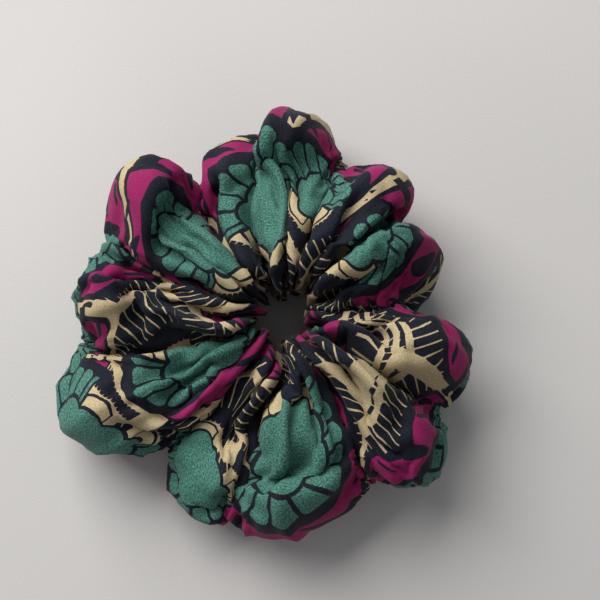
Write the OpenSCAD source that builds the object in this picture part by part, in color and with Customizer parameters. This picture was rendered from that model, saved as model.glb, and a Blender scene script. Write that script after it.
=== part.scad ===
// Gathered fabric hair tie: a sewn cloth tube ruched onto a closed elastic band.
// Millimetres. +Z runs along the axis of the hair opening, away from the surface it lies on.
// The origin is the centre of the hair opening, level with the middle of the elastic band.
// The ring lies relaxed. Its cover is divided in the folds between its puffs, so that it can open
// with the elastic: each puff slides outward along its own direction.

/* [Hair opening] */
// Radius of the opening when the ring is relaxed
opening_r = 8; // [7.5:0.1:8.5]
// Height of the upright part of the wall round the opening
opening_h = 14; // [12:0.5:15]

/* [Cloth cover] */
// Thickness that the bunched cloth has in the tube's wall
cover_wall = 1.5; // [1.2:0.1:1.8]
// Height of the elastic's middle above the surface that the ring lies on
rest_h = 20; // [19.5:0.1:20.5]
// Share of each puff's stated reach beyond its gathers
puff_reach = 1; // [0.8:0.05:1]
// Share of each puff's stated crown height
puff_crown = 1; // [0.9:0.05:1.1]
// Gap kept between one puff's cloth and the next, half on each side
cloth_gap = 0.4; // [0.3:0.1:0.6]

/* [Elastic band] */
// Radius of the relaxed elastic loop
elastic_r = 22; // [20:0.5:24]
// Width of the flat band, which stands upright in the tube
elastic_w = 6; // [4:0.5:8]
// Thickness of the flat band
elastic_t = 1; // [0.8:0.1:1.4]

/* [Thread] */
// Diameter of the sewing thread as it lies in a seam
thread_d = 0.4; // [0.3:0.05:0.5]
// Space along the wall between two bends of the gathered long seam
seam_pitch = 1.2; // [1:0.1:1.6]

/* [Hidden] */

// Folds between the puffs, in turn round the ring: [angle, outer reach, top height].
FOLDS = [
  [-9, 34, 10],
  [33, 43, 11],
  [76, 45, 11],
  [107, 51, 12],
  [128, 44, 10],
  [162, 49, 11],
  [193, 57, 12],
  [228, 47, 10],
  [250, 55, 12],
  [288, 49, 11],
  [318, 49, 11]
];
// Puffs, each between a fold and the next: [angle of the crest, outer reach, crown height].
PUFFS = [
  [20, 48, 19],
  [54, 48, 21],
  [92, 59, 22],
  [116, 56, 20],
  [144, 62, 22],
  [182, 62, 20],
  [205, 71, 20],
  [240, 61, 21],
  [261, 63, 23],
  [306, 63, 21],
  [327, 55, 19]
];
puffs = len(PUFFS);
// The seam that closes the cloth tube into a ring lies in puff 1, this far past its first fold.
seam_past_fold = 5;
seam_angle = FOLDS[0][0] + seam_past_fold;

// Steps between the sections of a whole puff, and of the short end beyond the closing seam.
puff_steps = 8;
end_steps = 2;
// Points on the domed part of a section of the tube.
arc_steps = 20;
// The domed part starts and ends this far round from the outermost point.
arc_span = 150;
// The cloth reaches this far inside the opening's wall and below the rest plane, and is cut flush.
trim = 1.5;
$fn = 96;

// Fold k lies between puff k and puff k + 1. Fold 0 and the last fold are the same one.
function fold_at(k) = FOLDS[k % puffs];
function fold_angle(k) = fold_at(k)[0] + 360 * floor(k / puffs);
// First and last angle of the cloth of piece k: a puff, or the short end, which is piece 12.
function first_angle(k) = k == 1 ? seam_angle : fold_angle(k - 1);
function last_angle(k) = k > puffs ? seam_angle + 360 : fold_angle(k);

function mix(a, b, t) = a + (b - a) * t;
// 0 at a fold, 1 at the crest of puff k.
function swell(k, angle) =
  let (crest = PUFFS[k - 1][0], from = fold_angle(k - 1), to = fold_angle(k))
  pow(max(0, angle < crest ? sin(90 * (angle - from) / (crest - from))
                           : sin(90 * (to - angle) / (to - crest))), 0.75);
// Item 1 is the outer reach and item 2 is the top height, at any angle of puff k.
function shape_at(k, angle, item) =
  let (fold = angle < PUFFS[k - 1][0] ? fold_at(k - 1) : fold_at(k))
  mix(fold[item], PUFFS[k - 1][item], swell(k, angle) * (item == 1 ? puff_reach : 1));

// One closed section of puff k's tube, as [radius, height] points. inset is 0 on the outside.
function section(k, angle, inset) =
  let (
    reach = shape_at(k, angle, 1),
    up = shape_at(k, angle, 2) * puff_crown - inset,
    down = (inset == 0 ? rest_h + trim : rest_h) * mix(0.82, 1, swell(k, angle)) - inset,
    middle_r = (reach + opening_r) / 2,
    half_r = (reach - opening_r) / 2 - inset,
    wall_r = inset == 0 ? opening_r - trim : opening_r + inset,
    wall_z = opening_h / 2 - inset,
    lip_r = opening_r + 1 + inset * 0.7
  )
  concat(
    [[lip_r, -wall_z], [wall_r, -wall_z], [wall_r, wall_z], [lip_r, wall_z]],
    [for (i = [0 : arc_steps - 1])
      let (a = mix(arc_span, -arc_span, i / (arc_steps - 1)))
      [middle_r + half_r * cos(a), (sin(a) > 0 ? up : down) * sin(a)]]
  );

// Angles of the sections of piece k, closer together towards its ends.
function stations(k) =
  let (from = first_angle(k), to = last_angle(k), n = k > puffs ? end_steps : puff_steps)
  [for (i = [0 : n]) mix(from, to, (1 - cos(180 * i / n)) / 2)];

// Section points of piece k in space. The short end past the last puff is the start of puff 1.
function ring_points(k, inset) =
  let (short_end = k > puffs)
  [
    for (angle = stations(k), p = section(short_end ? 1 : k, short_end ? angle - 360 : angle, inset))
      [p[0] * cos(angle), p[0] * sin(angle), p[1]]
  ];

// Moves piece k's cloth, and the thread in it, outward by enough to leave the gap at both its ends.
module placed(k) {
  half = (last_angle(k) - first_angle(k)) / 2;
  rotate([0, 0, first_angle(k) + half])
    translate([cloth_gap / 2 / sin(half), 0, 0])
      rotate([0, 0, -first_angle(k) - half])
        children();
}

// Cloth of one piece of the ring: a hollow tube from its first angle to its last.
module cover(k) {
  per = arc_steps + 4;
  rings = len(stations(k));
  inner = per * rings;
  last = per * (rings - 1);
  outside = [
    for (i = [0 : rings - 2], j = [0 : per - 1])
      let (n = (j + 1) % per, a = i * per + j, b = i * per + n)
      each [[a, a + per, b], [b, a + per, b + per]]
  ];
  inside = [
    for (i = [0 : rings - 2], j = [0 : per - 1])
      let (n = (j + 1) % per, a = inner + i * per + j, b = inner + i * per + n)
      each [[a, b, a + per], [b, b + per, a + per]]
  ];
  first_end = [
    for (j = [0 : per - 1])
      let (n = (j + 1) % per)
      each [[j, n, inner + j], [n, inner + n, inner + j]]
  ];
  last_end = [
    for (j = [0 : per - 1])
      let (n = (j + 1) % per)
      each [[last + j, inner + last + j, last + n], [last + n, inner + last + j, inner + last + n]]
  ];
  difference() {
    placed(k)
      polyhedron(
        points = concat(ring_points(k, 0), ring_points(k, cover_wall)),
        faces = concat(outside, inside, first_end, last_end),
        convexity = 8
      );
    cylinder(r = opening_r, h = 80, center = true);
    translate([-100, -100, -rest_h - 20])
      cube([200, 200, 20]);
  }
}

// Flat band on edge, along part of the loop.
module band(from, to, radius) {
  edge = 0.25;
  rotate([0, 0, from])
    rotate_extrude(angle = to - from)
      translate([radius, 0])
        polygon([
          [-elastic_t / 2, -elastic_w / 2 + edge],
          [-elastic_t / 2 + edge, -elastic_w / 2],
          [elastic_t / 2 - edge, -elastic_w / 2],
          [elastic_t / 2, -elastic_w / 2 + edge],
          [elastic_t / 2, elastic_w / 2 - edge],
          [elastic_t / 2 - edge, elastic_w / 2],
          [-elastic_t / 2 + edge, elastic_w / 2],
          [-elastic_t / 2, elastic_w / 2 - edge]
        ]);
}

module elastic_run(k) {
  gap = cloth_gap / 2 / elastic_r * 180 / PI;
  color("ivory")
    band(first_angle(k) + gap, last_angle(k) - gap, elastic_r);
}

// A straight piece of thread from p to q.
module stitch(p, q) {
  v = q - p;
  translate(p)
    rotate([0, acos(v[2] / norm(v)), atan2(v[1], v[0])])
      cylinder(d = thread_d, h = norm(v), $fn = 24);
}

function polar(r, angle, z) = [r * cos(angle), r * sin(angle), z];

// The long seam of the cloth tube, folded to and fro where the ruching bunches it.
module long_seam(k) {
  near_r = opening_r + cover_wall + thread_d * 1.25;
  far_r = near_r + 1.6;
  pitch = seam_pitch / near_r * 180 / PI;
  count = floor((last_angle(k) - first_angle(k) - 6) / pitch);
  start = (first_angle(k) + last_angle(k) - count * pitch) / 2;
  color("steelblue")
    placed(k)
      for (i = [0 : count - 1])
        stitch(
          polar(i % 2 == 0 ? near_r : far_r, start + (i + 0.12) * pitch, -1),
          polar(i % 2 == 0 ? far_r : near_r, start + (i + 0.88) * pitch, -1)
        );
}

module cover_puff_01() { color("teal") cover(1); }
module cover_puff_02() { color("mediumvioletred") cover(2); }
module cover_puff_03() { color("teal") cover(3); }
module cover_puff_04() { color("mediumvioletred") cover(4); }
module cover_puff_05() { color("teal") cover(5); }
module cover_puff_06() { color("mediumvioletred") cover(6); }
module cover_puff_07() { color("teal") cover(7); }
module cover_puff_08() { color("mediumvioletred") cover(8); }
module cover_puff_09() { color("teal") cover(9); }
module cover_puff_10() { color("mediumvioletred") cover(10); }
module cover_puff_11() { color("teal") cover(11); }
// The cloth tube's other end, which is sewn to the start of puff 1.
module cover_seam_end() { color("midnightblue") cover(12); }

// The end of the band that laps over its start before the two are sewn together.
module elastic_lap_end() {
  color("wheat")
    band(seam_angle + 1.5, seam_angle + 27.5, elastic_r + elastic_t + 0.05);
}

// The zigzag that holds the lapped ends, on the lap's outer face.
module elastic_zigzag_thread() {
  face_r = elastic_r + elastic_t * 1.5 + 0.05 + thread_d / 2;
  reach = elastic_w / 2 - 0.8;
  turns = 10;
  from = seam_angle + 3.5;
  to = seam_angle + 25.5;
  color("navy")
    for (i = [0 : turns - 1])
      stitch(
        polar(face_r, mix(from, to, (i + 0.1) / turns), i % 2 == 0 ? -reach : reach),
        polar(face_r, mix(from, to, (i + 0.9) / turns), i % 2 == 0 ? reach : -reach)
      );
}

// The seam that joins the two ends of the cloth tube, inside it and round its section.
module end_seam_thread() {
  angle = seam_angle + 4;
  line = section(1, angle, cover_wall + thread_d * 2);
  count = len(line);
  color("navy")
    placed(1)
      for (i = [0 : count - 1])
        let (p = line[i], q = line[(i + 1) % count])
        stitch(
          polar(mix(p[0], q[0], 0.15), angle, mix(p[1], q[1], 0.15)),
          polar(mix(p[0], q[0], 0.85), angle, mix(p[1], q[1], 0.85))
        );
}

// Hand stitches over the last stretch of the end seam, on the outside under the opening.
module closing_thread() {
  angle = seam_angle + 4.5;
  line = section(1, angle, 0);
  span = 21;
  stand_off = 0.5;
  color("crimson")
    placed(1)
      for (i = [0 : 4])
        let (m = (line[len(line) - 1 - i] + line[len(line) - 2 - i]) / 2, turn = span / m[0])
        stitch(
          polar(m[0] - stand_off, angle - turn, m[1] - stand_off),
          polar(m[0] - stand_off, angle + turn, m[1] - stand_off)
        );
}

cover_puff_01();
cover_puff_02();
cover_puff_03();
cover_puff_04();
cover_puff_05();
cover_puff_06();
cover_puff_07();
cover_puff_08();
cover_puff_09();
cover_puff_10();
cover_puff_11();
cover_seam_end();
elastic_run(1);  // elastic_run_01
elastic_run(2);  // elastic_run_02
elastic_run(3);  // elastic_run_03
elastic_run(4);  // elastic_run_04
elastic_run(5);  // elastic_run_05
elastic_run(6);  // elastic_run_06
elastic_run(7);  // elastic_run_07
elastic_run(8);  // elastic_run_08
elastic_run(9);  // elastic_run_09
elastic_run(10);  // elastic_run_10
elastic_run(11);  // elastic_run_11
elastic_run(12);  // elastic_run_12
long_seam(1);  // long_seam_thread_01
long_seam(2);  // long_seam_thread_02
long_seam(3);  // long_seam_thread_03
long_seam(4);  // long_seam_thread_04
long_seam(5);  // long_seam_thread_05
long_seam(6);  // long_seam_thread_06
long_seam(7);  // long_seam_thread_07
long_seam(8);  // long_seam_thread_08
long_seam(9);  // long_seam_thread_09
long_seam(10);  // long_seam_thread_10
long_seam(11);  // long_seam_thread_11
elastic_lap_end();
elastic_zigzag_thread();
end_seam_thread();
closing_thread();
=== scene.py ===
"""Scrunchie: printed crepe cover ruched on an elastic band, lying on a pale cloth.

The cover is one cloth tube. It starts pleated round the frame's puffs and is relaxed by a cloth
simulation against its real flat size. Then its height is drawn up, long soft folds are laid on it,
and it is divided near the middles of the puffs into pieces; the first moves with the first puff.
Lengths in the tables are in millimetres, and angles are in degrees.
"""

import math
import bpy
import numpy as np
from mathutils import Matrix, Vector


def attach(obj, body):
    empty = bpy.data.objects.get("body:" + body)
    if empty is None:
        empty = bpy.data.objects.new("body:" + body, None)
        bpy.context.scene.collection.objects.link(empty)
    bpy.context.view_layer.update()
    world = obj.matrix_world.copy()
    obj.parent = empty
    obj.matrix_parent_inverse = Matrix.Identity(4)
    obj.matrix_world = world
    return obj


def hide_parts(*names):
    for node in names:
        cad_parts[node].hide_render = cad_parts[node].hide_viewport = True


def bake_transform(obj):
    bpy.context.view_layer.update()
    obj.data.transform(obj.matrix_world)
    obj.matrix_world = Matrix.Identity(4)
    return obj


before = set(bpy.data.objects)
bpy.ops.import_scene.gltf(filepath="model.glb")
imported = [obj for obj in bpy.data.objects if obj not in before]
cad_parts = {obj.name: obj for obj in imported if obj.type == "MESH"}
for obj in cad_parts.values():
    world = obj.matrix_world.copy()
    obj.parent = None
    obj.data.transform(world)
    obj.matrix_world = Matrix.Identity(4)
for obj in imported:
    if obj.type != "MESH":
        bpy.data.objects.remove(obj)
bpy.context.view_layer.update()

MM = 0.001
rng = np.random.default_rng(7)
scene = bpy.context.scene

# ---------------------------------------------------------------- shape of the cover

# Folds between the puffs: angle in degrees, outer reach, height of the cloth in the fold.
FOLDS = np.array([
    (-9, 34, 6), (33, 42, 8), (76, 44, 8), (107, 50, 9), (128, 42, 7), (162, 47, 8),
    (193, 56, 10), (228, 45, 7), (250, 54, 10), (288, 47, 8), (318, 48, 8), (351, 34, 6),
], float)
# Puffs: angle of the crest, outer reach, crown height, sideways lean in degrees.
PUFFS = np.array([
    (20, 48, 19, 9), (54, 49, 21, -7), (92, 61, 22, 10), (116, 58, 20, 12), (144, 62, 22, -9),
    (182, 62, 20, -12), (205, 71, 20, 9), (240, 61, 19, 11), (261, 63, 23, -7), (306, 63, 21, -12),
    (327, 55, 20, 9),
], float)
# Pleats at the hole: how far the first and the second pleat of each puff stand back from it, the
# radius of the valley between them, and how far the pair is shifted along the puff.
PLEATS = np.array([
    (0.0, 1.3, 15, 0.05), (3.4, 0.8, 12, -0.06), (0.0, -0.8, 17, 0.04), (3.6, 2.0, 11, 0.0),
    (0.4, 2.6, 14, -0.05), (-0.8, 1.6, 17, 0.06), (2.8, -0.6, 12, -0.04), (0.0, 3.4, 15, 0.06),
    (2.0, -0.4, 12, -0.05), (-0.8, 1.2, 16, 0.04), (3.0, 0.6, 13, -0.06),
], float)
COUNT = len(PUFFS)
# The end seam: its place along the tube from the first fold, and its angle.
SEAM_U = 4.0
SEAM_ANGLE = -4.0
# The flat cloth tube, and the columns and rows of the grid that stands for it.
ROUND = 138.0
LENGTH = 456.0
GRID_U = 220
GRID_V = 56
# The hole: its radius, its longer direction, and how much longer it is there.
HOLE_R = 5.8
HOLE_LONG = -15.0
HOLE_OVAL = 0.16
# Start shape: how strongly the cloth bunches at the folds, how full the puffs swell between them,
# the radius of the valleys beside the folds, and how far the cloth sinks towards the hole.
BUNCHING = 0.75
SWELL_POWER = 0.8
VALLEY_R = 16.0
HOLE_DIP = 2.0
# Level of the floor, and how far down the puffs reach at the start.
FLOOR_Z = -20.0
UNDER = 19.5
# Points along and round one puff, to measure its area.
SAMPLES = (41, 57)
# The puffs on both sides of the end seam take less cloth than their area asks for.
FIRST_SHARE = 0.93
LAST_SHARE = 0.8
# Unevenness of the start shape, which lets the cloth crumple freely.
START_NOISE = 0.08

turns = np.diff(FOLDS[:, 0])


def puff_shape(k, t, v):
    """Place of the cloth at share t of puff k's length, v round the tube from the hole."""
    a = np.pi * (1 - 2 * v / ROUND)
    ca, sa = np.cos(a), np.sin(a)
    rho = (1 + ca) / 2
    bunch = BUNCHING * (0.35 + 0.65 * rho)
    phi = FOLDS[k, 0] + turns[k] * (t - bunch * np.sin(2 * np.pi * t) / (2 * np.pi))
    crest = PUFFS[k, 0]
    left = phi < crest
    rise = np.where(left, (phi - FOLDS[k, 0]) / (crest - FOLDS[k, 0]),
                    (FOLDS[k + 1, 0] - phi) / (FOLDS[k + 1, 0] - crest))
    swell = np.sin(np.pi / 2 * np.clip(rise, 0, 1)) ** SWELL_POWER
    fold = np.where(left[:, None], FOLDS[k], FOLDS[k + 1])
    reach = fold[:, 1] + (PUFFS[k, 1] - fold[:, 1]) * swell
    up = fold[:, 2] + (PUFFS[k, 2] - fold[:, 2]) * swell
    down = UNDER * (0.75 + 0.25 * swell)
    shifted = t + PLEATS[k, 3] * np.sin(np.pi * t)
    pleat = 0.5 - 0.5 * np.cos(4 * np.pi * shifted)
    ridge = HOLE_R + np.where(t < 0.5, PLEATS[k, 0], PLEATS[k, 1])
    ridge = ridge * (1 - HOLE_OVAL * np.cos(2 * np.radians(phi - HOLE_LONG)))
    valley = np.where(np.abs(t - 0.5) < 0.25, PLEATS[k, 2], VALLEY_R)
    inner = valley + (ridge - valley) * pleat
    r = (reach + inner) / 2 + (reach - inner) / 2 * ca
    cut = 0.5 * (1 - rho) ** 1.5 * (1 - pleat)
    z = np.where(sa > 0, up * (1 - cut), down * (1 - 0.7 * cut))
    z = z * np.sign(sa) * np.abs(sa) ** (0.9 - 0.35 * (1 - rho)) - HOLE_DIP * (1 - rho) ** 2
    phi = np.radians(phi + PUFFS[k, 3] * swell * np.where(sa > 0, sa, 0.4 * sa) * rho)
    return np.stack([r * np.cos(phi), r * np.sin(phi), z], -1)


def patch_area(grid):
    """Area of a grid of points, cell by cell."""
    a, b, c, d = grid[:-1, :-1], grid[:-1, 1:], grid[1:, 1:], grid[1:, :-1]
    return 0.5 * (np.linalg.norm(np.cross(b - a, c - a), axis=-1)
                  + np.linalg.norm(np.cross(c - a, d - a), axis=-1))


def puff_lengths():
    """Length of tube that each puff takes, by the area of its start shape."""
    t, v = np.meshgrid(np.linspace(0, 1, SAMPLES[0]), np.linspace(0, ROUND, SAMPLES[1]),
                       indexing="ij")
    out = []
    for k in range(COUNT):
        grid = puff_shape(np.full(t.size, k), t.ravel(), v.ravel()).reshape(*SAMPLES, 3)
        out.append(patch_area(grid).sum())
    out = np.array(out)
    out[0] *= FIRST_SHARE
    out[-1] *= LAST_SHARE
    return out * LENGTH / out.sum()


lengths = puff_lengths()
starts = np.concatenate([[0.0], np.cumsum(lengths)])


def start_shape(u, v):
    """Place of the cloth point u along the tube from fold 0 and v round it from the hole."""
    k = np.clip(np.searchsorted(starts, u, side="right") - 1, 0, COUNT - 1)
    return puff_shape(k, (u - starts[k]) / lengths[k], v)


column = LENGTH / GRID_U
grid_u = np.linspace(0, LENGTH, GRID_U + 1)
grid_v = np.arange(GRID_V) * ROUND / GRID_V
all_u, all_v = [g.ravel() for g in np.meshgrid(grid_u, grid_v, indexing="ij")]
points = start_shape((all_u + SEAM_U) % LENGTH, all_v)
points = points + rng.normal(0, START_NOISE, points.shape)
points = points.reshape(GRID_U + 1, GRID_V, 3)
points[-1] = points[0]
points = points.reshape(-1, 3)

ids = np.arange((GRID_U + 1) * GRID_V).reshape(GRID_U + 1, GRID_V)
faces = np.stack([ids[:-1], np.roll(ids, -1, 1)[:-1], np.roll(ids, -1, 1)[1:], ids[1:]], -1)
faces = faces.reshape(-1, 4)

# ---------------------------------------------------------------- simulation

# Simulation units for each millimetre, steps of the simulation, and half the collider floor's side.
SIM = 0.02
FRAMES = 26
FLOOR_HALF = 150.0
# The settled puffs are drawn up towards the frame's height, and down onto the floor.
PLUMP_UP = 1.4
PLUMP_DOWN = 1.03
# The elastic's radius, and the room round it, radially and up and down, that holds no cloth.
ELASTIC_R = 22.0
CLEAR_R = 1.6
CLEAR_Z = 3.9
FLOOR_GAP = 0.05


def link(obj):
    """Puts an object into the scene."""
    scene.collection.objects.link(obj)
    return obj


def floor_collider():
    """The floor, as an obstacle for the cloth."""
    corners = [(-FLOOR_HALF, -FLOOR_HALF, FLOOR_Z), (FLOOR_HALF, -FLOOR_HALF, FLOOR_Z),
               (FLOOR_HALF, FLOOR_HALF, FLOOR_Z), (-FLOOR_HALF, FLOOR_HALF, FLOOR_Z)]
    mesh = bpy.data.meshes.new("floor_collider")
    mesh.from_pydata((np.array(corners, float) * SIM).tolist(), [], [(0, 1, 2, 3)])
    obj = link(bpy.data.objects.new("floor_collider", mesh))
    obj.modifiers.new("Collision", "COLLISION")
    return obj


def set_up_cloth(modifier, rest):
    """Crepe: hard to stretch and soft to bend, a little blown up, and kept off itself."""
    cloth = modifier.settings
    cloth.quality = 4
    cloth.mass = 0.3
    cloth.air_damping = 2.0
    cloth.tension_stiffness = 15
    cloth.compression_stiffness = 15
    cloth.shear_stiffness = 5
    cloth.bending_stiffness = 5
    cloth.tension_damping = 5
    cloth.compression_damping = 5
    cloth.shear_damping = 5
    cloth.bending_damping = 0.5
    cloth.vertex_group_mass = "pin"
    cloth.pin_stiffness = 1
    cloth.rest_shape_key = rest
    cloth.use_sewing_springs = True
    cloth.sewing_force_max = 10
    cloth.use_pressure = True
    cloth.uniform_pressure_force = 6.5
    cloth.effector_weights.gravity = 0.5
    contact = modifier.collision_settings
    contact.use_self_collision = True
    contact.self_distance_min = 0.02
    contact.self_friction = 5
    contact.use_collision = True
    contact.distance_min = 0.01
    contact.collision_quality = 2
    modifier.point_cache.frame_start = 1
    modifier.point_cache.frame_end = FRAMES


def simulate():
    """Relaxes the tube. Its rest shape is the flat tube, so the cloth keeps its real size."""
    mesh = bpy.data.meshes.new("tube")
    sewn = np.stack([ids[0, 1:], ids[-1, 1:]], -1)
    mesh.from_pydata((points * SIM).tolist(), sewn.tolist(), faces.tolist())
    tube = link(bpy.data.objects.new("tube", mesh))
    tube.shape_key_add(name="Basis")
    rest = tube.shape_key_add(name="rest")
    around = 2 * np.pi * all_v / ROUND
    radius = ROUND / (2 * np.pi)
    flat = np.stack([all_u - LENGTH / 2, radius * np.cos(around), radius * np.sin(around)], -1)
    rest.data.foreach_set("co", (flat * SIM).astype(np.float32).ravel())
    rest.value = 0
    group = tube.vertex_groups.new(name="pin")
    group.add(ids[:, 0].tolist(), 1.0, "REPLACE")
    set_up_cloth(tube.modifiers.new("Cloth", "CLOTH"), rest)
    floor = floor_collider()
    for step in range(1, FRAMES + 1):
        scene.frame_set(step)
    evaluated = tube.evaluated_get(bpy.context.evaluated_depsgraph_get())
    out = np.zeros(len(points) * 3)
    evaluated.data.vertices.foreach_get("co", out)
    for obj in (tube, floor):
        bpy.data.objects.remove(obj)
    out = out.reshape(-1, 3) / SIM
    out[ids[0]] = out[ids[-1]] = 0.5 * (out[ids[0]] + out[ids[-1]])
    return out


points = simulate()
points[:, 2] *= np.where(points[:, 2] > 0, PLUMP_UP, PLUMP_DOWN)

# Keeps the cloth off the elastic and the floor.
radius = np.hypot(points[:, 0], points[:, 1])
near = (np.abs(radius - ELASTIC_R) < CLEAR_R) & (np.abs(points[:, 2]) < CLEAR_Z)
points[near, 2] = np.where(all_v[near] < ROUND / 2, CLEAR_Z, -CLEAR_Z)
points[:, 2] = np.maximum(points[:, 2], FLOOR_Z + FLOOR_GAP)

# ---------------------------------------------------------------- smooth tube and its long folds

# How far the fine tube is rounded, from 0 for the grid's own flat cells to 1 for fully.
SMOOTHING = 0.35


def subdivided(whole, kind):
    """Places, normals, faces and cloth coordinates of the tube, subdivided once."""
    whole.modifiers[0].subdivision_type = kind
    bpy.context.view_layer.update()
    fine = whole.evaluated_get(bpy.context.evaluated_depsgraph_get()).to_mesh()
    place = np.zeros(len(fine.vertices) * 3)
    fine.vertices.foreach_get("co", place)
    normal = np.zeros(len(fine.vertices) * 3)
    fine.vertices.foreach_get("normal", normal)
    corner = np.zeros(len(fine.loops), int)
    fine.loops.foreach_get("vertex_index", corner)
    uv = np.zeros(len(fine.loops) * 2)
    fine.uv_layers["fabric"].data.foreach_get("uv", uv)
    return place.reshape(-1, 3), normal.reshape(-1, 3), corner.reshape(-1, 4), uv.reshape(-1, 4, 2)


def smooth_tube():
    """The relaxed tube, subdivided, a little rounded, and shaded as if fully rounded."""
    mesh = bpy.data.meshes.new("whole")
    mesh.from_pydata(points.tolist(), [], faces.tolist())
    layer = mesh.uv_layers.new(name="fabric")
    u = grid_u[:-1][:, None] + np.zeros(GRID_V)
    v = grid_v[None, :] + np.zeros((GRID_U, 1))
    next_u, next_v = u + column, v + ROUND / GRID_V
    corners = np.stack([np.stack([u, v], -1), np.stack([u, next_v], -1),
                        np.stack([next_u, next_v], -1), np.stack([next_u, v], -1)], 2)
    layer.data.foreach_set("uv", corners.astype(np.float32).ravel())
    whole = link(bpy.data.objects.new("whole", mesh))
    modifier = whole.modifiers.new("Subdivide", "SUBSURF")
    modifier.levels = 1
    modifier.render_levels = 1
    modifier.uv_smooth = "NONE"
    plain, _, corner, uv = subdivided(whole, "SIMPLE")
    rounded, normal, corner_too, _ = subdivided(whole, "CATMULL_CLARK")
    assert (corner == corner_too).all()
    bpy.data.objects.remove(whole)
    return plain + SMOOTHING * (rounded - plain), normal, corner, uv


place, normal, quads, quad_uv = smooth_tube()

# Cloth coordinates of each point of the fine tube: along it, and round it from the hole.
ring_u = np.zeros(len(place))
ring_v = np.zeros(len(place))
ring_u[quads.ravel()] = quad_uv[:, :, 0].ravel()
ring_v[quads.ravel()] = quad_uv[:, :, 1].ravel() % ROUND

# The fine tube as a net: its columns and rows, their spacing, and each point's spot in it.
FINE_U = 2 * GRID_U + 1
FINE_V = 2 * GRID_V
half_u = column / 2
half_v = ROUND / FINE_V
net_u = np.round(ring_u / half_u).astype(int)
net_v = np.round(ring_v / half_v).astype(int) % FINE_V

# Long soft folds, out from the hole and over the tops of the puffs. The simulation's grid is too
# coarse for them, so they are laid on the fine tube. Each wave is its cycles along the whole tube,
# its slant and its weight. The folds appear and die away over two stretches round the tube.
RIDGE = 2.1
RIDGE_WAVES = ((19, 1.1, 0.5), (26, -1.4, 0.45), (33, 0.6, 0.4), (11, -1.7, 0.4))
CREASE = 0.8
CREASE_WAVES = ((23, -0.9, 0.6), (31, 1.2, 0.5), (14, 0.5, 0.5))
CREST_ROUNDING = 0.03
FADE_IN = (3, 14)
FADE_OUT = (76, 100)
# Least size of a cell's area that a slope is divided by, where the cloth is crumpled.
LEAST_CELL = 0.3


def smooth(x, low, high):
    """Soft step from 0 at low to 1 at high."""
    x = np.clip((x - low) / (high - low), 0, 1)
    return x * x * (3 - 2 * x)


def crests(waves, along, around, power):
    """Height from 0 to 1 of the crests where the sum of long waves from the hole is near zero."""
    out = np.zeros(along.shape)
    for cycles, slant, weight in waves:
        phase = cycles * along / LENGTH + slant * around / ROUND + rng.random()
        out += weight * np.sin(math.tau * phase)
    return np.clip(1 - np.sqrt(out * out + CREST_ROUNDING), 0, 1) ** power


def lay_folds():
    """Lifts the fine tube along its normals by the folds, and tilts the normals to match."""
    along, around = np.meshgrid((np.arange(FINE_U - 1) * half_u + SEAM_U) % LENGTH,
                                np.arange(FINE_V) * half_v, indexing="ij")
    k = np.clip(np.searchsorted(starts, along, side="right") - 1, 0, COUNT - 1)
    share = np.clip((along - starts[k]) / lengths[k], 0, 1)
    ridges = crests(RIDGE_WAVES, along, around, 2)
    creases = crests(CREASE_WAVES, along, around, 4)
    fade = np.sin(np.pi * share) ** 0.5
    fade = fade * smooth(around, *FADE_IN) * (1 - smooth(around, *FADE_OUT))
    lift = (RIDGE * ridges - CREASE * creases) * fade
    spot = net_u % (FINE_U - 1), net_v
    grid = np.zeros((FINE_U - 1, FINE_V, 3))
    grid[spot] = place
    across_u = (np.roll(grid, -2, 0) - np.roll(grid, 2, 0)) / (4 * half_u)
    across_v = (np.roll(grid, -2, 1) - np.roll(grid, 2, 1)) / (4 * half_v)
    rise_u = (np.roll(lift, -1, 0) - np.roll(lift, 1, 0)) / (2 * half_u)
    rise_v = (np.roll(lift, -1, 1) - np.roll(lift, 1, 1)) / (2 * half_v)
    across_u, across_v = across_u[spot], across_v[spot]
    size = np.einsum("ij,ij->i", np.cross(across_u, across_v), normal)
    size = np.where(np.abs(size) < LEAST_CELL, np.where(size < 0, -LEAST_CELL, LEAST_CELL), size)
    slope = (rise_u[spot][:, None] * np.cross(across_v, normal)
             + rise_v[spot][:, None] * np.cross(normal, across_u)) / size[:, None]
    tilted = normal - slope
    return (place + lift[spot][:, None] * normal,
            tilted / np.linalg.norm(tilted, axis=1)[:, None])


place, normal = lay_folds()

# The two end rings meet at the seam: one shared normal there. Points whose places along the tube
# differ by less than SAME_U are on one ring.
SAME_U = 0.01
first = np.where(ring_u < SAME_U)[0]
last = np.where(ring_u > LENGTH - SAME_U)[0]
first = first[np.argsort(ring_v[first])]
last = last[np.argsort(ring_v[last])]
shared = normal[first] + normal[last]
shared /= np.linalg.norm(shared, axis=1)[:, None]
normal[first] = normal[last] = shared

# ---------------------------------------------------------------- pieces of the cover

# The stretch of each puff in which it may be cut, as shares of its length, and the columns
# between the end seam and the first cut.
CUT_FROM = 0.35
CUT_TO = 0.65
FIRST_CUT = 6
# Zone near a fold between two cut rings, found but not applied: leans tried, radius of the zone,
# least half of its width.
LEANS = np.arange(-14, 14.5, 1.0)
ZONE_R = 30
LEAST_HALF = 1.5


def clearance(index, k):
    """Smallest distance from a column of the relaxed tube to the two folds of puff k."""
    ring = points[ids[index]]
    out = []
    for fold, sign in ((k, 1), (k + 1, -1)):
        turn = math.radians(FOLDS[fold, 0])
        out.append(sign * (ring[:, 1] * math.cos(turn) - ring[:, 0] * math.sin(turn)))
    return min(out[0].min(), out[1].min())


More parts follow.
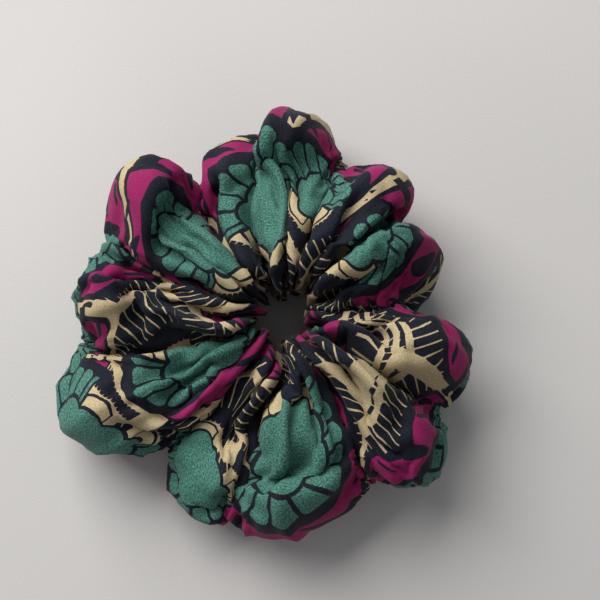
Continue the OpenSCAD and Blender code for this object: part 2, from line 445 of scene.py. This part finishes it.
# Cuts near the middles of the puffs, each on the column of the grid that keeps farthest from
# the folds at both sides of its puff.
cuts = [0.0]
for k in range(COUNT):
    low = max(int((starts[k] + CUT_FROM * lengths[k] - SEAM_U) / column), FIRST_CUT)
    high = int((starts[k] + CUT_TO * lengths[k] - SEAM_U) / column)
    cuts.append(max(range(low, high + 1), key=lambda index: clearance(index, k)) * column)
cuts.append(LENGTH)
quad_mid = quad_uv[:, :, 0].mean(1)


def polar(r, degrees, z=0.0):
    """Point at radius r, an angle in degrees and height z."""
    turn = math.radians(degrees)
    return np.array([r * math.cos(turn), r * math.sin(turn), z])


def turning_zone(low_ring, high_ring, angle):
    """The widest straight zone between two cut rings, near a fold. Returns its two ends."""
    best = None
    for lean in LEANS:
        across = polar(1, angle + 90 + lean)
        near_end = (low_ring @ across).max()
        far_end = (high_ring @ across).min()
        if best is None or far_end - near_end > best[0]:
            best = (far_end - near_end, across, near_end, far_end)
    width, across, near_end, far_end = best
    along = polar(ZONE_R, angle)
    base = along - (along @ across) * across
    middle = 0.5 * (near_end + far_end)
    half = max(0.5 * width, LEAST_HALF)
    return base + (middle - half) * across, base + (middle + half) * across


def body_name(k):
    """Body of puff k, counted from 1. After the last puff comes the seam end."""
    return "seam_end" if k > COUNT else f"puff_{k:02d}"


def follow(obj, i):
    """Piece i moves with the first puff if i is 0; any other piece only has its transform baked."""
    if i == 0:
        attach(obj, body_name(1))
    else:
        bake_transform(obj)


pieces = []
for i in range(COUNT + 1):
    inside = (quad_mid > cuts[i]) & (quad_mid < cuts[i + 1])
    used, local = np.unique(quads[inside].ravel(), return_inverse=True)
    mesh = bpy.data.meshes.new(f"cover_piece_{i:02d}")
    mesh.from_pydata((place[used] * MM).tolist(), [], local.reshape(-1, 4).tolist())
    layer = mesh.uv_layers.new(name="fabric")
    layer.data.foreach_set("uv", quad_uv[inside].astype(np.float32).ravel())
    mesh.polygons.foreach_set("use_smooth", [True] * len(mesh.polygons))
    mesh.normals_split_custom_set_from_vertices(normal[used].tolist())
    obj = link(bpy.data.objects.new(f"cover_piece_{i:02d}", mesh))
    pieces.append(obj)
    if i == 0:
        follow(obj, i)
        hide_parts("cover_puff_01")
        continue
    u_used = ring_u[used]
    low_ring = place[used][np.abs(u_used - cuts[i]) < SAME_U]
    high_ring = place[used][np.abs(u_used - cuts[i + 1]) < SAME_U]
    start, end = turning_zone(low_ring, high_ring, FOLDS[i, 0])
    start * MM
    end * MM
    follow(obj, i)
    following = "cover_seam_end" if i == COUNT else f"cover_puff_{i + 1:02d}"
    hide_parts(f"cover_puff_{i:02d}", following)

# ---------------------------------------------------------------- sewing and elastic

# The smooth tube as a net of points, to lay the stitches on.
net = np.zeros((FINE_U, FINE_V, 6))
net[net_u, net_v, :3] = place
net[net_u, net_v, 3:] = normal


def on_cloth(u, v, lift):
    """Point of the cloth at u along and v round the tube, lifted off its outer face."""
    last_column = FINE_U - 1.001
    a = np.clip(u % LENGTH / half_u, 0, last_column)
    b = v % ROUND / half_v
    i, j = int(a), int(b)
    f, g = a - i, b - j
    rows = net[[i, i, i + 1, i + 1], [j, (j + 1) % FINE_V, j, (j + 1) % FINE_V]]
    both = ((1 - f) * ((1 - g) * rows[0] + g * rows[1]) + f * ((1 - g) * rows[2] + g * rows[3]))
    return both[:3] + lift * both[3:] / np.linalg.norm(both[3:])


THREAD_R = 0.2
THREAD_SIDES = 7
# A thread's rounded end: how far it sticks out, and its size against the thread's.
TIP = 0.12
TIP_SIZE = 0.45


def thread_mesh(name, lines):
    """Short rounded threads, one along each line of points."""
    verts, quads = [], []
    ring = [(math.cos(math.tau * s / THREAD_SIDES), math.sin(math.tau * s / THREAD_SIDES))
            for s in range(THREAD_SIDES)]
    off_line = (0.3, 0.2, 1.0)
    for line in lines:
        line = np.array(line)
        heading = np.gradient(line, axis=0)
        heading /= np.linalg.norm(heading, axis=1)[:, None]
        side = np.cross(heading, off_line)
        side /= np.linalg.norm(side, axis=1)[:, None]
        over = np.cross(heading, side)
        line = np.concatenate([line[:1] - TIP * heading[:1], line, line[-1:] + TIP * heading[-1:]])
        side = np.concatenate([side[:1], side, side[-1:]])
        over = np.concatenate([over[:1], over, over[-1:]])
        radii = [TIP_SIZE] + [1.0] * (len(line) - 2) + [TIP_SIZE]
        base = len(verts)
        for p, a, b, size in zip(line, side, over, radii):
            verts += [tuple(p + THREAD_R * size * (x * a + y * b)) for x, y in ring]
        for row in range(len(line) - 1):
            for s in range(THREAD_SIDES):
                n = (s + 1) % THREAD_SIDES
                low = base + row * THREAD_SIDES
                quads.append((low + s, low + n, low + THREAD_SIDES + n, low + THREAD_SIDES + s))
        quads.append(tuple(base + s for s in reversed(range(THREAD_SIDES))))
        last_row = base + (len(line) - 1) * THREAD_SIDES
        quads.append(tuple(last_row + s for s in range(THREAD_SIDES)))
    mesh = bpy.data.meshes.new(name)
    mesh.from_pydata((np.array(verts) * MM).tolist(), [], quads)
    mesh.polygons.foreach_set("use_smooth", [True] * len(mesh.polygons))
    return link(bpy.data.objects.new(name, mesh))


# Machine stitches: spacing, points along each one, and depth, just inside the cloth.
STITCH = 2.4
STITCH_STEPS = (0.0, 0.5, 1.0, 1.5)
SEWN_DEPTH = -0.7
# Cloth left free of stitches at the start and the end of each piece of the long seam.
SEAM_START = 0.4
SEAM_STOP = 1.8
# The end seam's row: its place along the tube, and the cloth left free at its two ends.
END_SEAM_U = 0.9
END_SEAM_START = 3.0
END_SEAM_STOP = 4.0
# Closing stitches: their shares of the way round, points across the seam, slant and height.
CLOSING_SHARES = np.array([0.83, 0.86, 0.89, 0.92, 0.95])
CLOSING_STEPS = (-1.4, -0.7, 0.0, 0.7, 1.4)
CLOSING_SLANT = 0.3
CLOSING_LIFT = 0.15
threads = {"navy_thread": [], "cream_thread": []}


def add_thread(obj, i, slot, nodes):
    """Lets stitches follow the cloth of piece i, in place of the frame's nodes."""
    follow(obj, i)
    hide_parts(*nodes)
    threads[slot].append(obj)


for i in range(COUNT + 1):
    runs = np.arange(cuts[i] + SEAM_START, cuts[i + 1] - SEAM_STOP, STITCH)
    lines = [[on_cloth(u + step, 0.0, SEWN_DEPTH) for step in STITCH_STEPS] for u in runs]
    obj = thread_mesh(f"long_seam_stitches_{i:02d}", lines)
    names = [f"long_seam_thread_{k:02d}" for k in (max(i, 1), i + 1) if k <= COUNT]
    add_thread(obj, i, "navy_thread", sorted(set(names)))

lines = [[on_cloth(END_SEAM_U, v + step, SEWN_DEPTH) for step in STITCH_STEPS]
         for v in np.arange(END_SEAM_START, ROUND - END_SEAM_STOP, STITCH)]
add_thread(thread_mesh("end_seam_stitches", lines), 0, "navy_thread", ["end_seam_thread"])
lines = [[on_cloth(step, v + CLOSING_SLANT * step, CLOSING_LIFT) for step in CLOSING_STEPS]
         for v in ROUND * CLOSING_SHARES]
add_thread(thread_mesh("closing_stitches", lines), 0, "cream_thread", ["closing_thread"])

# The braided band: its section, its ribs across and its ripple along, and degrees for each step.
ELASTIC_WIDE = 6.0
ELASTIC_THICK = 1.0
RIBS = 4
RIB_HEIGHT = 0.07
EDGE_THICK = 0.02
RIPPLE = 0.05
RIPPLES_ROUND = 60
BAND_STEP = 1.5
BAND_POINTS = 25
# The lap, and the zigzag on it: angles past the end seam, turns, half width, and their radii.
LAP_FROM = 1.5
LAP_TO = 27.5
LAP_GAP = 0.15
LAP_R = ELASTIC_R + ELASTIC_THICK + LAP_GAP
ZIGZAG_FROM = 3.5
ZIGZAG_TO = 25.5
ZIGZAG_TURNS = 11
ZIGZAG_SIDE = 2.2
ZIGZAG_LIFT = 0.75
ZIGZAG_R = LAP_R + ZIGZAG_LIFT
ZIGZAG_STEPS = (0.05, 0.35, 0.65, 0.95)


def band_mesh(name, low, high, radius):
    """Flat ribbed band along an arc, from angle low to high in degrees."""
    across = np.linspace(-1, 1, BAND_POINTS)
    rib = RIB_HEIGHT * np.cos(across * math.tau * RIBS)
    half_thick = ELASTIC_THICK / 2 * np.sqrt(np.clip(1 - across ** 8, 0, 1)) + EDGE_THICK
    height = across * ELASTIC_WIDE / 2
    profile = np.concatenate([np.stack([half_thick + rib, height], -1),
                              np.stack([-half_thick - rib, height], -1)[::-1]])
    count = max(int((high - low) / BAND_STEP), 3)
    rows = []
    for turn in np.linspace(low, high, count + 1):
        wave = RIPPLE * math.sin(math.radians(turn) * RIPPLES_ROUND)
        rows.append([polar(radius + r + wave, turn, z) for r, z in profile])
    size = len(profile)
    verts = np.array(rows).reshape(-1, 3)
    quads = [(r * size + s, (r + 1) * size + s,
              (r + 1) * size + (s + 1) % size, r * size + (s + 1) % size)
             for r in range(count) for s in range(size)]
    quads.append(tuple(range(size)))
    quads.append(tuple(count * size + s for s in reversed(range(size))))
    mesh = bpy.data.meshes.new(name)
    mesh.from_pydata((verts * MM).tolist(), [], quads)
    mesh.polygons.foreach_set("use_smooth", [True] * len(mesh.polygons))
    return link(bpy.data.objects.new(name, mesh))


elastics = []
middles = [0.5 * (a + b) for a, b in zip(FOLDS[:-1, 0], FOLDS[1:, 0])]
joins = [SEAM_ANGLE] + middles + [360 + SEAM_ANGLE]
for i in range(COUNT + 1):
    obj = band_mesh(f"elastic_piece_{i:02d}", joins[i], joins[i + 1], ELASTIC_R)
    follow(obj, i)
    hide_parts(*sorted({f"elastic_run_{max(i, 1):02d}", f"elastic_run_{i + 1:02d}"}))
    elastics.append(obj)
lap = band_mesh("elastic_lap", SEAM_ANGLE + LAP_FROM, SEAM_ANGLE + LAP_TO, LAP_R)
follow(lap, 0)
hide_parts("elastic_lap_end")
elastics.append(lap)
turns_at = np.linspace(SEAM_ANGLE + ZIGZAG_FROM, SEAM_ANGLE + ZIGZAG_TO, ZIGZAG_TURNS)
zigzag = []
for row, (low, high) in enumerate(zip(turns_at[:-1], turns_at[1:])):
    side = ZIGZAG_SIDE if row % 2 else -ZIGZAG_SIDE
    zigzag.append([polar(ZIGZAG_R, low + f * (high - low), side * (1 - 2 * f))
                   for f in ZIGZAG_STEPS])
add_thread(thread_mesh("elastic_zigzag", zigzag), 0, "navy_thread", ["elastic_zigzag_thread"])

# ---------------------------------------------------------------- materials


class Value:
    """A number in a node tree. Arithmetic on it adds Math nodes."""

    def __init__(self, tree, socket):
        self.tree = tree
        self.socket = socket

    def op(self, name, *others):
        made = self.tree.nodes.new("ShaderNodeMath")
        made.operation = name
        for spot, item in enumerate((self,) + others):
            feed(self.tree, item, made.inputs[spot])
        return Value(self.tree, made.outputs[0])

    def __add__(self, other):
        return self.op("ADD", other)

    def __sub__(self, other):
        return self.op("SUBTRACT", other)

    def __mul__(self, other):
        return self.op("MULTIPLY", other)

    def __truediv__(self, other):
        return self.op("DIVIDE", other)

    def __lt__(self, other):
        return self.op("LESS_THAN", other)

    def __gt__(self, other):
        return self.op("GREATER_THAN", other)

    def abs(self):
        return self.op("ABSOLUTE")

    def least(self, other):
        return self.op("MINIMUM", other)

    def most(self, other):
        return self.op("MAXIMUM", other)

    def wave(self):
        """Distance to the nearest whole number, from 0 to 0.5."""
        return self.op("PINGPONG", 0.5)


def feed(tree, item, socket):
    """Links a Value to a socket, or sets the socket to a constant."""
    if isinstance(item, Value):
        tree.links.new(item.socket, socket)
    else:
        socket.default_value = item


def node(tree, kind, inputs=(), **settings):
    """A new node with its settings, and its inputs fed."""
    made = tree.nodes.new(kind)
    for key, value in settings.items():
        setattr(made, key, value)
    for key, value in dict(inputs).items():
        feed(tree, value, made.inputs[key])
    return made


def mix_colour(tree, factor, a, b):
    """Colour a where factor is 0, and b where it is 1."""
    made = node(tree, "ShaderNodeMix", data_type="RGBA")
    feed(tree, factor, made.inputs[0])
    feed(tree, a, made.inputs[6])
    feed(tree, b, made.inputs[7])
    return Value(tree, made.outputs[2])


def linear(r, g, b):
    """Linear colour of an sRGB colour given from 0 to 255."""
    def one(x):
        x /= 255
        return x / 12.92 if x <= 0.04045 else ((x + 0.055) / 1.055) ** 2.4
    return (one(r), one(g), one(b), 1.0)


DARK_TEAL = linear(47, 85, 75)
LIGHT_TEAL = linear(79, 133, 119)
DARK_NAVY = linear(9, 11, 20)
LIGHT_NAVY = linear(24, 29, 44)
NAVY = linear(15, 18, 27)
CREAM = linear(182, 165, 128)
MAGENTA = linear(138, 24, 84)
OFF_WHITE = linear(225, 220, 208)
# The floor cloth's two greys: mixed, they give soft patches of painted light and shade.
FLOOR_SHADED_GREY = linear(192, 190, 188)
FLOOR_LIT_GREY = linear(206, 203, 200)
THREAD_TWIST = 900.0
BRAID_TWIST = 400.0

# Flowers of the print: place along and round the tube, turn of the fan in degrees, scale.
FLOWERS = [
    (26, 32, 85, 1.05), (70, 38, 90, 0.9), (104, 30, 85, 1.2), (168, 24, 95, 1.1),
    (222, -14, 90, 1.0), (236, 76, 275, 1.0), (250, 19, -5, 1.1), (264, 56, 100, 0.85),
    (300, 52, 110, 0.9), (344, 33, 70, 1.2), (404, 73, 265, 1.05), (427, -16, 90, 1.1),
    (446, 70, 260, 0.9), (134, 78, 270, 0.9), (200, 70, 265, 1.05), (384, -18, 95, 1.0),
    (25, 98, 280, 0.9), (75, 102, 60, 0.9), (165, 110, 200, 0.9), (300, 108, 100, 0.9),
    (350, 106, 240, 0.9), (205, 118, 20, 0.85), (115, -20, 80, 0.9), (305, -16, 90, 0.95),
]


def new_material(name):
    """A material, its node tree and its shader."""
    material = bpy.data.materials.new(name)
    material.use_nodes = True
    tree = material.node_tree
    return material, tree, tree.nodes["Principled BSDF"]


# The print is drawn on the flat cloth in millimetres, and its angles are in radians. Each flower
# is a teal cloud, round which petals, a magenta band and a navy comb open like a fan.
# How far the lines wobble, a distance beyond every flower, and half the angle of the fan.
WOBBLE = 2.2
FAR = 1000.0
FAN = 1.88
# Combs: their distance from the border between two flowers, the depth of the dents between their
# teeth, and the power that keeps the teeth square.
COMB_EDGE = 2.2
COMB_DENT = 0.8
TOOTH = 6.0


def waved(share, power, depth, middle):
    """An edge that lies at middle where share is 0, and depth away from it where share is 1."""
    return share.op("POWER", power) * depth + middle


class Flower:
    """The nearest flower of each point: its distance, its angle from the fan's axis with and
    without the sign, and how much nearer it is than the next one."""

    def __init__(self, tree, drawn):
        nearest, own, second = None, None, FAR
        for x, y, turn, scale in FLOWERS:
            mapping = node(tree, "ShaderNodeMapping", {"Vector": drawn}, vector_type="TEXTURE")
            mapping.inputs["Location"].default_value = (x + WOBBLE / 2, y + WOBBLE / 2, 0)
            mapping.inputs["Rotation"].default_value = (0, 0, math.radians(turn))
            mapping.inputs["Scale"].default_value = (scale, scale, 1)
            here = Value(tree, mapping.outputs[0])
            size = node(tree, "ShaderNodeVectorMath", {0: here}, operation="LENGTH")
            distance = Value(tree, size.outputs["Value"])
            if nearest is None:
                nearest, own = distance, here
                continue
            pick = node(tree, "ShaderNodeMix", {0: distance < nearest, 4: own, 5: here},
                        data_type="VECTOR")
            own = Value(tree, pick.outputs[1])
            second = distance.most(nearest).least(second)
            nearest = distance.least(nearest)
        split = node(tree, "ShaderNodeSeparateXYZ", {0: own})
        self.r = nearest
        self.theta = Value(tree, split.outputs[1]).op("ARCTAN2", Value(tree, split.outputs[0]))
        self.turn = self.theta.abs()
        self.border = second - nearest


def wobbled(tree, cloth):
    """Cloth coordinates, shifted a little so that no line of the print is quite regular."""
    noise = node(tree, "ShaderNodeTexNoise", {"Vector": cloth, "Scale": 0.06, "Detail": 1.0})
    shift = node(tree, "ShaderNodeVectorMath", {0: Value(tree, noise.outputs["Color"]), 2: cloth},
                 operation="MULTIPLY_ADD")
    shift.inputs[1].default_value = (WOBBLE, WOBBLE, 0.0)
    return Value(tree, shift.outputs[0])


def ground(tree, navy, drawn, flower):
    """Cream that flows between the flowers, with long navy combs where they are far apart."""
    spacing, slant, comb_end, comb_back = 34, 0.12, 13.4, 4.6
    hair_spacing, hair_slant, hairline = 2.5, 0.35, 0.86
    split = node(tree, "ShaderNodeSeparateXYZ", {0: drawn})
    along_tube, round_tube = Value(tree, split.outputs[0]), Value(tree, split.outputs[1])
    run = ((round_tube + along_tube * slant - 6) / spacing + 0.5).wave() * spacing
    hair = ((along_tube + run * hair_slant) / hair_spacing).wave() * 2
    comb = run < waved(hair, TOOTH, -COMB_DENT, comb_end)
    comb = comb * (flower.border > waved(hair, TOOTH, COMB_DENT, COMB_EDGE))
    comb = comb * ((hair < hairline) + (run < comb_back)).least(1)
    return mix_colour(tree, comb, CREAM, navy)


def stalk_leaves(tree, colour, navy, flower):
    """Combed navy leaves beside each flower's stalk, on cream."""
    rim, leaf_end, leaf_start, leaf_back, hairline = 37.0, 35.5, 16.0, 22.5, 0.85
    leaf = (flower.theta * 11).wave() * 2
    stalk = (flower.turn > 1.93) * (flower.turn < 2.95)
    colour = mix_colour(tree, stalk * (flower.r < rim), colour, CREAM)
    comb = stalk * (flower.border > waved(leaf, TOOTH, COMB_DENT, COMB_EDGE))
    comb = comb * (flower.r > waved(leaf, TOOTH, COMB_DENT, leaf_start))
    comb = comb * (flower.r < waved(leaf, TOOTH, -0.9, leaf_end))
    comb = comb * ((leaf < hairline) + (flower.r < leaf_back)).least(1)
    return mix_colour(tree, comb, colour, navy)


def fan_comb(tree, colour, navy, flower):
    """Comb of navy teeth round the fan, on cream."""
    rim, comb_end, comb_back, hairline = 41.5, 39.6, 31.5, 0.84
    tooth = (flower.theta * 14).wave() * 2
    colour = mix_colour(tree, (flower.r < rim) * (flower.turn < FAN), colour, CREAM)
    comb = flower.border > waved(tooth, TOOTH, COMB_DENT, COMB_EDGE)
    comb = comb * (flower.r < waved(tooth, TOOTH, -0.9, comb_end)) * (flower.turn < FAN - 0.03)
    comb = comb * ((tooth < hairline) + (flower.r < comb_back)).least(1)
    return mix_colour(tree, comb, colour, navy)


def magenta_band(tree, colour, navy, flower):
    """Magenta band with a scalloped, outlined edge, and its navy drops and dots."""
    lobes, band_end, lobe_depth, outline = 7, 29.4, 2.4, 1.5
    drops, drop_r, drop_half, dot_r, dot_size = 9, 25.6, 3.3, 27.0, 1.1
    middle_r = 25.5
    r, turn = flower.r, flower.turn
    lobe = (flower.theta * lobes / math.tau + 0.5).wave() * 2
    edge = waved(lobe, 2.0, -lobe_depth, band_end)
    outer = (r < edge + outline) * (turn < FAN - 0.02) * (flower.border > 1.8)
    colour = mix_colour(tree, outer, colour, navy)
    band = (r < edge) * (turn < FAN - 0.06) * (flower.border > 3.6)
    colour = mix_colour(tree, band, colour, MAGENTA)
    bend = (flower.theta * drops / math.tau + (r - middle_r) * 0.05).wave()
    bend = bend * (math.tau / drops) * middle_r
    broad = (r - drop_r) * 0.32 + 2.2
    along = (r - drop_r) / drop_half
    drop = (bend / broad).op("POWER", 2.0) + along * along
    colour = mix_colour(tree, (drop < 1.0) * (turn < 1.75), colour, navy)
    aside = bend - (math.tau / (2 * drops)) * middle_r
    dot = aside * aside + (r - dot_r) * (r - dot_r) * 0.4
    return mix_colour(tree, (dot < dot_size) * (turn < 1.75), colour, navy)


def petals(tree, colour, navy, teal, flower):
    """Fan of teal petals on a navy band."""
    count, back_end, petal_end, gap_half = 21, 21.6, 18.4, 2.7
    r, turn = flower.r, flower.turn
    colour = mix_colour(tree, (r < back_end) * (turn < FAN + 0.07), colour, navy)
    petal = (flower.theta * count / math.tau + 0.5).wave() * 2
    gap = (petal * -1 + 1) * r
    petal = (r < waved(petal, 4.0, -1.8, petal_end)) * (gap > gap_half) * (turn < FAN + 0.02)
    return mix_colour(tree, petal, colour, teal)


def cloud(tree, colour, navy, teal, flower):
    """Outlined teal cloud in the middle, and a thin cream crescent along its open side."""
    bumps, cloud_r, dent, outline, crescent = 8, 11.4, 1.7, 1.0, 3.5
    r, turn = flower.r, flower.turn
    bump = (flower.theta * bumps / math.tau).wave() * 2
    edge = waved(bump, 2.0, -dent, cloud_r)
    colour = mix_colour(tree, (r < edge + 4.3) * (turn > 1.95) * (turn < 2.7), colour, navy)
    colour = mix_colour(tree, (r < edge + crescent) * (turn > 1.99) * (turn < 2.66), colour, CREAM)
    colour = mix_colour(tree, r < edge + outline, colour, navy)
    return mix_colour(tree, r < edge, colour, teal)


def print_material():
    """Crepe with a fine pebbled grain, and its print in teal, navy, magenta and cream."""
    material, tree, shader = new_material("printed_crepe")
    cloth = Value(tree, node(tree, "ShaderNodeUVMap", uv_map="fabric").outputs[0])
    grain = node(tree, "ShaderNodeTexNoise", {"Vector": cloth, "Scale": 2.5, "Detail": 2.0})
    speck = Value(tree, grain.outputs["Fac"])
    pebble = node(tree, "ShaderNodeMapRange", {"Value": speck, "From Min": 0.36, "From Max": 0.64})
    pebble = Value(tree, pebble.outputs[0])
    teal = mix_colour(tree, pebble, DARK_TEAL, LIGHT_TEAL)
    navy = mix_colour(tree, pebble, DARK_NAVY, LIGHT_NAVY)

    drawn = wobbled(tree, cloth)
    flower = Flower(tree, drawn)
    colour = ground(tree, navy, drawn, flower)
    colour = stalk_leaves(tree, colour, navy, flower)
    colour = fan_comb(tree, colour, navy, flower)
    colour = magenta_band(tree, colour, navy, flower)
    colour = petals(tree, colour, navy, teal, flower)
    colour = cloud(tree, colour, navy, teal, flower)

    tone = node(tree, "ShaderNodeMapRange", {"Value": speck, "From Min": 0.34, "From Max": 0.66,
                                             "To Min": 0.8, "To Max": 1.16})
    shaded = node(tree, "ShaderNodeVectorMath", {0: colour}, operation="SCALE")
    tree.links.new(tone.outputs[0], shaded.inputs["Scale"])
    tree.links.new(shaded.outputs[0], shader.inputs["Base Color"])
    relief = node(tree, "ShaderNodeBump", {"Height": speck, "Strength": 0.35, "Distance": 0.0002})
    tree.links.new(relief.outputs[0], shader.inputs["Normal"])
    shader.inputs["Roughness"].default_value = 0.78
    shader.inputs["Specular IOR Level"].default_value = 0.18
    shader.inputs["Sheen Weight"].default_value = 0.05
    shader.inputs["Sheen Roughness"].default_value = 0.5
    return material


cover_material = print_material()
for obj in pieces:
    obj.data.materials.append(cover_material)


def thread_material(name, colour, twist):
    """Twisted or braided yarn; twist is the scale of its turns."""
    material, tree, shader = new_material(name)
    where = node(tree, "ShaderNodeTexCoord")
    spiral = node(tree, "ShaderNodeTexWave", {"Vector": Value(tree, where.outputs["Object"]),
                                              "Scale": twist, "Distortion": 1.0},
                  bands_direction="DIAGONAL")
    tint = mix_colour(tree, Value(tree, spiral.outputs["Fac"]), colour,
                      tuple(0.7 * c for c in colour[:3]) + (1.0,))
    tree.links.new(tint.socket, shader.inputs["Base Color"])
    relief = node(tree, "ShaderNodeBump", {"Height": Value(tree, spiral.outputs["Fac"]),
                                           "Strength": 0.5, "Distance": 0.0001})
    tree.links.new(relief.outputs[0], shader.inputs["Normal"])
    shader.inputs["Roughness"].default_value = 0.6
    return material


navy_thread = thread_material("navy_thread", NAVY, THREAD_TWIST)
cream_thread = thread_material("cream_thread", CREAM, THREAD_TWIST)
elastic = thread_material("braided_elastic", OFF_WHITE, BRAID_TWIST)
for obj in threads["navy_thread"]:
    obj.data.materials.append(navy_thread)
for obj in threads["cream_thread"]:
    obj.data.materials.append(cream_thread)
for obj in elastics:
    obj.data.materials.append(elastic)

# ---------------------------------------------------------------- floor, light and camera

# The cloth under the scrunchie, in metres: half its side, its points along a side, the gap below
# the scrunchie, and the ring in which its waves begin, outside the scrunchie.
CLOTH_HALF = 0.45
CLOTH_POINTS = 90
CLOTH_GAP = 0.0002
LEVEL_R = 0.07
WAVES_IN = 0.1
# Its long waves: height, radians for each metre along x and y, phase.
FLOOR_WAVES = ((0.0016, 14, -22, 0.7), (0.0012, 31, 9, 0.0))


def pale_cloth_material():
    """Finely woven pale cloth, lighter and darker in soft patches of painted light and shade."""
    material, tree, shader = new_material("pale_cloth")
    where = Value(tree, node(tree, "ShaderNodeTexCoord").outputs["Object"])
    weave = node(tree, "ShaderNodeTexNoise", {"Vector": where, "Scale": 1800.0, "Detail": 2.0})
    # Wide soft patches of painted light and shade on the floor cloth.
    painted_light_patches = node(tree, "ShaderNodeTexNoise", {"Vector": where, "Scale": 9.0, "Detail": 1.0})
    tint = mix_colour(tree, Value(tree, painted_light_patches.outputs["Fac"]), FLOOR_SHADED_GREY, FLOOR_LIT_GREY)
    tree.links.new(tint.socket, shader.inputs["Base Color"])
    relief = node(tree, "ShaderNodeBump", {"Height": Value(tree, weave.outputs["Fac"]),
                                           "Strength": 0.25, "Distance": 0.0002})
    tree.links.new(relief.outputs[0], shader.inputs["Normal"])
    shader.inputs["Roughness"].default_value = 0.85
    return material


def floor_piece():
    """Pale cloth under the scrunchie, level there and with long soft waves farther out."""
    side = np.linspace(-CLOTH_HALF, CLOTH_HALF, CLOTH_POINTS)
    x, y = np.meshgrid(side, side, indexing="ij")
    wave = sum(height * np.sin(a * x + b * y + phase) for height, a, b, phase in FLOOR_WAVES)
    away = smooth(np.hypot(x, y), LEVEL_R, LEVEL_R + WAVES_IN)
    z = FLOOR_Z * MM - CLOTH_GAP + wave * away
    mesh = bpy.data.meshes.new("pale_cloth")
    grid = np.arange(CLOTH_POINTS * CLOTH_POINTS).reshape(CLOTH_POINTS, CLOTH_POINTS)
    cells = np.stack([grid[:-1, :-1], grid[1:, :-1], grid[1:, 1:], grid[:-1, 1:]], -1)
    mesh.from_pydata(np.stack([x, y, z], -1).reshape(-1, 3).tolist(), [],
                     cells.reshape(-1, 4).tolist())
    mesh.polygons.foreach_set("use_smooth", [True] * len(mesh.polygons))
    obj = link(bpy.data.objects.new("pale_cloth", mesh))
    obj.data.materials.append(pale_cloth_material())
    return obj


floor_piece()


def aim(obj, where, target):
    """Puts an object somewhere, looking at the target."""
    obj.location = where
    obj.rotation_euler = (Vector(target) - Vector(where)).to_track_quat("-Z", "Y").to_euler()


def area_light(name, where, target, size, power, colour):
    """A rectangular light of a size in metres and a power in watts."""
    data = bpy.data.lights.new(name, "AREA")
    data.shape = "RECTANGLE"
    data.size, data.size_y = size
    data.energy = power
    data.color = colour
    obj = link(bpy.data.objects.new(name, data))
    aim(obj, where, target)


# A soft window at the back left, and the paler light of the room.
WINDOW_AT = (-0.42, 0.55, 0.6)
WINDOW_SIZE = (0.85, 0.7)
WINDOW_POWER = 12.6
WINDOW_COLOUR = (1.0, 0.99, 0.98)
ROOM_COLOUR = (0.95, 0.96, 1.0, 1)
ROOM_LIGHT = 0.28
area_light("window", WINDOW_AT, (0, 0, 0), WINDOW_SIZE, WINDOW_POWER, WINDOW_COLOUR)

world = bpy.data.worlds.new("room")
scene.world = world
world.use_nodes = True
background = world.node_tree.nodes["Background"]
background.inputs[0].default_value = ROOM_COLOUR
background.inputs[1].default_value = ROOM_LIGHT
scene.view_settings.view_transform = "Standard"

# The camera looks down, tilted a little from upright, and its view is VIEW_ANGLE degrees wide.
VIEW_ANGLE = 30
VIEW_TILT = math.radians(9)
VIEW_FROM = 0.302
TARGET = Vector((0.0045, 0.0045, 0.0))
camera = bpy.data.cameras.new("camera")
camera_obj = link(bpy.data.objects.new("camera", camera))
scene.camera = camera_obj
camera.sensor_width = 36
camera.angle = math.radians(VIEW_ANGLE)
back = Vector((0, -math.sin(VIEW_TILT), math.cos(VIEW_TILT)))
aim(camera_obj, TARGET + VIEW_FROM * back, TARGET)
